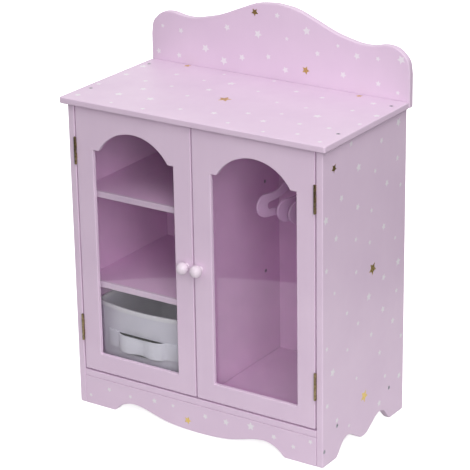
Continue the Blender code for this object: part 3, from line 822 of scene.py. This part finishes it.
def strike_plate(side):
    """A thin steel plate with two countersunk screws."""
    name = f"strike_plate_{side}"
    low, high, near, far = plane_of(name, "xz")
    level = (low[1] + high[1]) / 2
    spots = [(low[0] + 0.004, level), (high[0] - 0.004, level)]
    walls = [wall(filleted(rectangle(low, high), 0.002), near, far, 0.0002)]
    walls += [wall(hole(ring(at, 0.0016, 20)), near, far, 0.0001) for at in spots]
    flat_piece(name, walls, "xz", "steel")
    profile = [(0, 0), (0.0014, 0), (0.0014, 0.0003), (0.0010, 0.0006), (0.0004, 0.0006), (0, 0.0003)]
    heads = [turned(profile, (x, near, z), (0, 1, 0), 20) for x, z in spots]
    piece(f"strike_screws_{side}", joined(*heads), "steel", body=f"{side}_door")


# Hinges

PIN_RADIUS = 0.00075
PIN_SIDES = 24
KNUCKLE_RADIUS = 0.0017
KNUCKLE_BORE = 0.0010
KNUCKLE_SPACE = 0.0001
KNUCKLES = 5
LEAF_THICKNESS = 0.0005
LEAF_START = 0.0020
LEAF_TAB = 0.0026
LEAF_HOLE_RADIUS = 0.0013
LEAF_HOLES_AT = (0.16, 0.5, 0.84)


def hinge_pin(side, level):
    """A pin with a low button head at each end."""
    name = f"hinge_pin_{side}_{level}"
    pin = middle_of(name)
    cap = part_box(name)[1].z - pin.z
    button = [(0, 0), (0.0007, 0.0001), (0.0012, 0.0004), (0.0012, 0.0007), (PIN_RADIUS, 0.0009)]
    profile = [(radius, rise - cap) for radius, rise in button]
    profile += [(radius, -z) for radius, z in reversed(profile)]
    piece(name, turned(profile, pin, (0, 0, 1), PIN_SIDES), "brass", [name])


def hinge_leaf(side, level, leaf, away):
    """One leaf: a plate with three screws, and its share of the knuckles round the pin.

    Away is 1 where the plate's back is on the pin's right, and -1 where it is on the left.
    """
    name = f"{leaf}_leaf_{side}_{level}"
    pin = middle_of(f"hinge_pin_{side}_{level}")
    low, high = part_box(name)
    far = high.x if away > 0 else low.x
    faces = sorted((far, far - away * LEAF_THICKNESS))
    height = high.z - low.z
    start = pin.y + LEAF_START
    spots = [(0.55 * start + 0.45 * high.y, low.z + share * height) for share in LEAF_HOLES_AT]
    plate = rectangle((start, low.z), (high.y, high.z))
    walls = [wall(filleted(plate, 0.0008), *faces, 0.0001)]
    walls += [wall(hole(ring(at, LEAF_HOLE_RADIUS, 16)), *faces, 0) for at in spots]
    shells = [solid(walls, LIFTS["yz"])]

    reach = abs(far - pin.x)
    inner = reach - LEAF_THICKNESS
    first = math.atan2(math.sqrt(KNUCKLE_RADIUS ** 2 - reach ** 2), reach)
    last = math.atan2(math.sqrt(KNUCKLE_RADIUS ** 2 - inner ** 2), inner)
    barrel = arc((0, 0), KNUCKLE_RADIUS, first, last - 2 * math.pi, 28)
    barrel += [Vector((inner, LEAF_TAB)), Vector((reach, LEAF_TAB))]
    bore = hole(ring((0, 0), KNUCKLE_BORE, 20))
    loops = [[Vector((pin.x + away * x, pin.y + y)) for x, y in loop] for loop in (barrel, bore)]
    if away > 0:
        loops[0].reverse()
    pitch = height / KNUCKLES
    for i in range(0 if leaf == "cabinet" else 1, KNUCKLES, 2):
        foot = low.z + i * pitch + KNUCKLE_SPACE
        head = foot + pitch - 2 * KNUCKLE_SPACE
        shells.append(solid([[(loop, foot), (loop, head)] for loop in loops], LIFTS["xy"]))
    piece(name, joined(*shells), "brass", [name], flat_faces=True)

    rise = LEAF_THICKNESS - 0.0001
    profile = [(0, 0), (0.0012, 0), (0.0012, rise), (0.0005, rise), (0, rise - 0.0002)]
    heads = [turned(profile, (far, y, z), (-away, 0, 0), 16) for y, z in spots]
    owner = "cabinet" if leaf == "cabinet" else f"{side}_door"
    piece(f"{leaf}_leaf_screws_{side}_{level}", joined(*heads), "brass", body=owner)


def hinge(side, sign, level):
    hinge_pin(side, level)
    hinge_leaf(side, level, "cabinet", sign)
    hinge_leaf(side, level, "door", -sign)


# Hangers

HANGER_TURN = math.radians(-22)
LOBE_X = 0.0465
LOBE_Z = -0.071
LOBE_RADIUS = 0.0165
HOOK_INNER = 0.0065
HOOK_OUTER = 0.0105
HOOK_END = math.radians(160)
HOOK_CENTRE = -0.0022
STEM_HALF = 0.0025
STEM_FOOT = -0.021
HANGER_HALF = 0.002
HANGER_EASE = 0.0013


def hanger_outline():
    """A chunky closed hanger, drawn about the rail: round lobes, hollow shoulders, and an open hook."""
    lobe_top = LOBE_Z + LOBE_RADIUS
    hollow = [Vector((x, lobe_top + 24.5 * (0.038 - x) ** 2)) for x in (0.038, 0.030, 0.022, 0.015, 0.009)]
    right = arc((LOBE_X, LOBE_Z), LOBE_RADIUS, -QUARTER, QUARTER, 16) + curve(hollow, 2)
    right.append(Vector((STEM_HALF, STEM_FOOT)))
    centre = Vector((0, HOOK_CENTRE))
    outer_start = -math.acos(STEM_HALF / HOOK_OUTER)
    inner_start = -math.pi + math.acos(STEM_HALF / HOOK_INNER)
    outer = arc(centre, HOOK_OUTER, outer_start, HOOK_END, 20)
    inner = arc(centre, HOOK_INNER, HOOK_END, inner_start, 14)
    tip_way = Vector((math.cos(HOOK_END), math.sin(HOOK_END)))
    tip = tip_way * (HOOK_INNER + HOOK_OUTER) / 2 + centre
    rounded_tip = arc(tip, (HOOK_OUTER - HOOK_INNER) / 2, HOOK_END, HOOK_END + math.pi, 6)[1:-1]
    return right + outer + rounded_tip + inner + mirrored(right)


def hanger_slot():
    """The opening between the shoulders and the lower bar."""
    reach = 0.040
    top = -0.0661
    end = arc((reach, -0.0713), 0.0052, -QUARTER, QUARTER, 8)
    right = end + [Vector((x, top + 12.5 * (reach - x) ** 2)) for x in (0.033, 0.026, 0.019, 0.012, 0.006)]
    return right + [Vector((0, top + 12.5 * reach ** 2))] + mirrored(right)


def hanger(number):
    """A hanger on the rail, turned a little about the upright."""
    name = f"hanger_{number}"
    at = middle_of("hanging_rod")
    at.x = middle_of(name).x
    place = Matrix.Translation(at) @ Matrix.Rotation(HANGER_TURN, 4, "Z")
    outlines = (hanger_outline(), hole(hanger_slot()))
    walls = [wall(outline, -HANGER_HALF, HANGER_HALF, HANGER_EASE) for outline in outlines]
    bm = solid(walls, lambda u, v, level: place @ Vector((level, u, v)))
    piece(name, bm, "hanger_plastic", [name], flat_faces=True)


# Storage bin

BIN_BOW = 0.013
BIN_CORNER = 0.016
BIN_LIP = 0.0015
BIN_WALL = 0.002
BIN_DRAFT = 0.0015
BIN_FOOT = 0.0015
GRIP_HALF = 0.038
GRIP_RAMP = 0.005
GRIP_REACH = 0.0047
GRIP_SWELL = 0.0024
GRIP_SWELL_AT = 0.024
STRIP = 0.0018
HANDLE_GAP = 0.0001
HANDLE_STEPS = 72


class Bin:
    """The bin's plan, read from its box: bowed front, straight sides, round corners."""

    def __init__(self):
        self.low, self.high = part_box("storage_bin")
        self.middle = (self.low.x + self.high.x) / 2
        self.half = (self.high.x - self.low.x) / 2 - BIN_LIP
        self.front = self.low.y + BIN_LIP
        self.back = self.high.y - BIN_LIP

    def front_at(self, x):
        """How far back the front wall's outside stands at x from the middle."""
        return self.front + BIN_BOW * (x / self.half) ** 2

    def loop(self, grow):
        """The plan's outline, grown outward all round."""
        corner = BIN_CORNER + grow
        flat = self.half - BIN_CORNER
        lean = math.atan(2 * BIN_BOW * flat / self.half ** 2)
        across = [flat * (i / 10 - 1) for i in range(1, 20)]
        front = [Vector((x, self.front_at(x) - grow)) for x in across]
        turn = arc((flat, self.front_at(flat) + BIN_CORNER), corner, -QUARTER + lean, 0, 8)
        rear = arc((flat, self.back - BIN_CORNER), corner, 0, QUARTER, 8)
        right = turn + rear
        loop = front + right + mirrored(right)
        return [Vector((self.middle + x, y)) for x, y in loop]


def storage_bin():
    """An open tub: a drafted wall with a round foot, a lip round the rim, and a hollow inside."""
    plan = Bin()
    floor = plan.low.z
    rim = plan.high.z
    lip = rim - BIN_LIP_HEIGHT
    outside = -BIN_DRAFT
    inside = outside - BIN_WALL
    bottom = floor + BIN_WALL
    levels = [
        (outside - BIN_FOOT, floor), (outside - 0.0004, floor + 0.0004), (outside, floor + BIN_FOOT),
        (-0.0001, lip - 0.0006), (0.0003, lip - 0.0001), (BIN_LIP - 0.0004, lip), (BIN_LIP, lip + 0.0004),
        (BIN_LIP, rim - 0.0010), (BIN_LIP - 0.0003, rim - 0.0003), (BIN_LIP - 0.0010, rim),
        (-BIN_WALL + 0.0008, rim), (-BIN_WALL + 0.0002, rim - 0.0003), (-BIN_WALL, rim - 0.0010),
        (inside + 0.0001, bottom + 0.005), (inside - 0.0012, bottom + 0.0014), (inside - 0.005, bottom),
    ]
    flat_piece("storage_bin", [[(plan.loop(grow), z) for grow, z in levels]], "xy", "frosted_plastic")


def grip_reach(x):
    """How far the handle's face stands off the wall: flat tails, then a grip with two deep swells."""
    edge = (GRIP_HALF - abs(x)) / GRIP_RAMP + 0.5
    ramp = min(1.0, max(0.0, edge))
    ramp = ramp * ramp * (3 - 2 * ramp)
    swell = -GRIP_SWELL * math.cos(math.pi * x / GRIP_SWELL_AT)
    return STRIP + ramp * (GRIP_REACH + swell)


def bin_handle():
    """A moulded strip: flat tails on the wall, and a wavy grip that stands off it."""
    plan = Bin()
    low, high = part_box("bin_handle")
    half = (high.x - low.x) / 2
    xs = [half * (2 * i / HANDLE_STEPS - 1) for i in range(HANDLE_STEPS + 1)]

    def line(depth):
        return [Vector((plan.middle + x, plan.front_at(x) - HANDLE_GAP - depth(x))) for x in xs]

    outline = line(grip_reach) + line(lambda x: grip_reach(x) - STRIP)[::-1]
    flat_piece("bin_handle", [wall(outline, low.z, high.z, 0.0006)], "xy", "white_plastic")


# Printed stars

STAR_THICKNESS = 0.00012
STAR_SUNK = 0.00002
STAR_WAIST = 0.5
STAR_MARGIN = 0.008
STAR_TRIES = 1500
ABOVE_SIDE_ARCHES = 0.030
PALE_RADII = (0.0032, 0.0038, 0.0044, 0.0052, 0.0064)

# Gold stars on each board: (across or back, up or back, radius, turn in degrees)
GOLD_STARS = {
    "top": [(-0.144, 0.203, 0.0055, 30), (-0.010, 0.097, 0.0098, 22), (0.138, 0.201, 0.0048, 50)],
    "crest": [(-0.034, 0.091, 0.0059, 55), (0.048, 0.020, 0.0062, 68)],
    "side": [(0.028, 0.415, 0.0064, 54), (0.129, 0.243, 0.0095, 53), (0.109, 0.063, 0.0093, 60)],
    "apron": [(-0.016, 0.016, 0.0059, 70)],
}


def star(at, radius, turn):
    """A five-pointed star as a left-turning loop."""
    reach = [radius, STAR_WAIST * radius] * 5
    return [
        Vector((at[0] + r * math.cos(turn + i * math.pi / 5), at[1] + r * math.sin(turn + i * math.pi / 5)))
        for i, r in enumerate(reach)
    ]


def scattered(inside, low, high, taken, spacing, dice):
    """Random places in a box, inside an outline, that keep apart from each other and from those taken."""
    spots = []
    for _ in range(STAR_TRIES):
        spot = (dice.uniform(low[0], high[0]), dice.uniform(low[1], high[1]))
        clear = all(math.dist(spot, other[:2]) > spacing for other in [*spots, *taken])
        if clear and inside(*spot):
            spots.append(spot)
    return spots


def print_stars(name, plane, face, low, high, gold, seed, spacing, inside=lambda u, v: True):
    """Thin printed stars on a board: gold ones at their own places, and pale ones scattered between.

    The face is (level, outward sign). The low and high corners bound the pale stars.
    """
    dice = random.Random(seed)
    level, outward = face
    faces = sorted((level - outward * STAR_SUNK, level + outward * STAR_THICKNESS))
    loops = {"gold": [star((u, v), radius, math.radians(turn)) for u, v, radius, turn in gold], "pale": []}
    for spot in scattered(inside, low, high, gold, spacing, dice):
        loops["pale"].append(star(spot, dice.choice(PALE_RADII), dice.uniform(0, 2 * math.pi)))
    for layer, ink in (("gold", GOLD_FOIL), ("pale", PALE_INK)):
        shapes = joined(*(solid([[(loop, z) for z in faces]], LIFTS[plane]) for loop in loops[layer]))
        full_name = f"{layer}_stars_{name}"
        piece(full_name, shapes, "painted_board", body="cabinet", surface=ink, flat_faces=True)


def star_field(node, plane):
    """The box that a board's pale stars keep to, seen across a plane."""
    low, high, _, _ = plane_of(node, plane)
    return [a + STAR_MARGIN for a in low], [a - STAR_MARGIN for a in high]


def all_stars():
    slab_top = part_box("top_panel")[1].z
    low, high = star_field("top_panel", "xy")
    gold = [(x, FRONT + y, radius, turn) for x, y, radius, turn in GOLD_STARS["top"]]
    print_stars("top", "xy", (slab_top, 1), low, high, gold, seed=3, spacing=0.038)

    def on_crest(x, z):
        return z - slab_top < 0.058 + 0.040 * max(0, 1 - (x / 0.11) ** 2)

    low, high = star_field("crest_board", "xz")
    low[1] = slab_top + STAR_MARGIN
    face = (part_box("crest_board")[0].y, -1)
    gold = [(x, slab_top + z, radius, turn) for x, z, radius, turn in GOLD_STARS["crest"]]
    print_stars("crest", "xz", face, low, high, gold, seed=5, spacing=0.030, inside=on_crest)

    gold = [(FRONT + y, z, radius, turn) for y, z, radius, turn in GOLD_STARS["side"]]
    for side, sign in LEFT_AND_RIGHT:
        low, high = star_field(f"side_panel_{side}", "yz")
        low[1] = ABOVE_SIDE_ARCHES
        face = (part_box(f"side_panel_{side}")[1 if sign > 0 else 0].x, sign)
        print_stars(side, "yz", face, low, high, gold, seed=7 + sign, spacing=0.038)

    def on_apron(x, z):
        return z > 0.025 or abs(x) > 0.155

    low, high = star_field("front_apron", "xz")
    face = (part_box("front_apron")[0].y, -1)
    print_stars("apron", "xz", face, low, high, GOLD_STARS["apron"], seed=11, spacing=0.027, inside=on_apron)


# Studio

CAMERA_PLACE = (1.48349, -2.22220, 1.28315)
CAMERA_YAW = 33.7125
CAMERA_PITCH = -20.9384
CAMERA_ROLL = -0.9438
CAMERA_LENS = 159.342
FLOOR_REACH = 6
FLOOR_TOP = -0.0003
TABLE_RADIUS = 0.65
FLOOR_LIFT = 0.8
TABLE_LIFT = 0.5


def camera():
    data = bpy.data.cameras.new("camera")
    data.lens = CAMERA_LENS
    data.sensor_width = 36
    made = bpy.data.objects.new("camera", data)
    bpy.context.collection.objects.link(made)
    yaw = Matrix.Rotation(math.radians(CAMERA_YAW), 4, "Z")
    pitch = Matrix.Rotation(QUARTER + math.radians(CAMERA_PITCH), 4, "X")
    roll = Matrix.Rotation(math.radians(CAMERA_ROLL), 4, "Z")
    made.matrix_world = Matrix.Translation(CAMERA_PLACE) @ yaw @ pitch @ roll
    bpy.context.scene.camera = made


def stage_piece(name, outline, top, depth, surface):
    made = mesh_object(name, solid([wall(outline, top - depth, top, 0.002)], LIFTS["xy"]))
    made.data.materials.append(surface)
    made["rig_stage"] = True
    return made


def pale_surface(name, pale, deep, ray, lift):
    """A matt surface that looks brighter, by the lift, to one kind of ray."""
    made = Shader(name)
    tone = made.ranged(made.noise(3, detail=3), 0, 1)
    made.join(made.blend(tone, (pale, pale, pale), (deep, deep, deep)), made.surface.inputs["Base Color"])
    made.set(Roughness=0.8, Emission_Color=(1, 1, 1, 1))
    path = made.add("ShaderNodeLightPath")
    made.join(made.scaled(path.outputs[ray], lift), made.surface.inputs["Emission Strength"])
    return made.material


def pale_floor():
    """A wide pale floor to be looked at; the light that rises comes from the round table top under it."""
    reach = FLOOR_REACH
    outline = filleted(rectangle((-reach, -reach), (reach, reach)), 0.3, steps=8)
    looked_at = pale_surface("pale_floor", 0.93, 0.91, "Is Camera Ray", FLOOR_LIFT)
    floor = stage_piece("floor", outline, FLOOR_TOP, 0.05, looked_at)
    floor.visible_glossy = False
    floor.visible_diffuse = False
    floor.visible_shadow = False
    reflected = pale_surface("white_table", 0.45, 0.43, "Is Glossy Ray", TABLE_LIFT)
    table = stage_piece("table_top", ring((0, 0), TABLE_RADIUS, 96), 2 * FLOOR_TOP, 0.02, reflected)
    table.visible_camera = False


def soft_light(name, direction, distance, size, power):
    """A square soft light that faces the wardrobe's middle, from (azimuth, height) in degrees."""
    azimuth, height = (math.radians(a) for a in direction)
    aim = Vector((0, 0, 0.25))
    level = math.cos(height)
    way = Vector((math.sin(azimuth) * level, -math.cos(azimuth) * level, math.sin(height)))
    data = bpy.data.lights.new(name, "AREA")
    data.shape = "SQUARE"
    data.size = size
    data.energy = power
    made = bpy.data.objects.new(name, data)
    bpy.context.collection.objects.link(made)
    made.location = aim + way * distance
    made.rotation_euler = way.to_track_quat("Z", "Y").to_euler()


def surroundings():
    """White to the camera; for light and reflections, a bright dome over a dark lower half."""
    world = bpy.data.worlds.new("studio")
    bpy.context.scene.world = world
    world.use_nodes = True
    tree = world.node_tree
    nodes = tree.nodes
    dome = nodes["Background"]
    way = nodes.new("ShaderNodeTexCoord")
    split = nodes.new("ShaderNodeSeparateXYZ")
    tree.links.new(way.outputs["Generated"], split.inputs["Vector"])
    height = nodes.new("ShaderNodeMapRange")
    height.inputs["From Min"].default_value = 0.05
    height.inputs["From Max"].default_value = 0.75
    height.inputs["To Min"].default_value = 0.09
    height.inputs["To Max"].default_value = 0.80
    tree.links.new(split.outputs["Z"], height.inputs["Value"])
    tree.links.new(height.outputs["Result"], dome.inputs["Strength"])
    dome.inputs["Color"].default_value = (1, 1, 1, 1)
    seen = nodes.new("ShaderNodeBackground")
    seen.inputs["Color"].default_value = (1, 1, 1, 1)
    seen.inputs["Strength"].default_value = 1.0
    path = nodes.new("ShaderNodeLightPath")
    mix = nodes.new("ShaderNodeMixShader")
    tree.links.new(path.outputs["Is Camera Ray"], mix.inputs["Fac"])
    tree.links.new(dome.outputs["Background"], mix.inputs[1])
    tree.links.new(seen.outputs["Background"], mix.inputs[2])
    tree.links.new(mix.outputs["Shader"], nodes["World Output"].inputs["Surface"])


# The whole wardrobe

side_panels()
top_and_crest()
inner_boards()
apron()
screws()
magnet_catches()
rail()
for door_side, door_sign in LEFT_AND_RIGHT:
    door(door_side)
    knob(door_side)
    strike_plate(door_side)
    for hinge_level in ("lower", "upper"):
        hinge(door_side, door_sign, hinge_level)
for hanger_number in (1, 2, 3):
    hanger(hanger_number)
storage_bin()
bin_handle()
all_stars()

camera()
pale_floor()
soft_light("key", (45, 45), 2.6, 1.4, 13)
soft_light("low_key", (40, 18), 2.8, 1.6, 35)
soft_light("top", (10, 78), 1.6, 1.2, 1.5)
soft_light("side", (95, 50), 2.6, 1.4, 4)
soft_light("back", (212, 15), 2.8, 1.6, 6)
surroundings()
bpy.context.scene.view_settings.view_transform = "Standard"

boxes = {"cad": cad_bounds, "visual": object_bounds()}
{name: [list(corner) for corner in box] for name, box in boxes.items()}
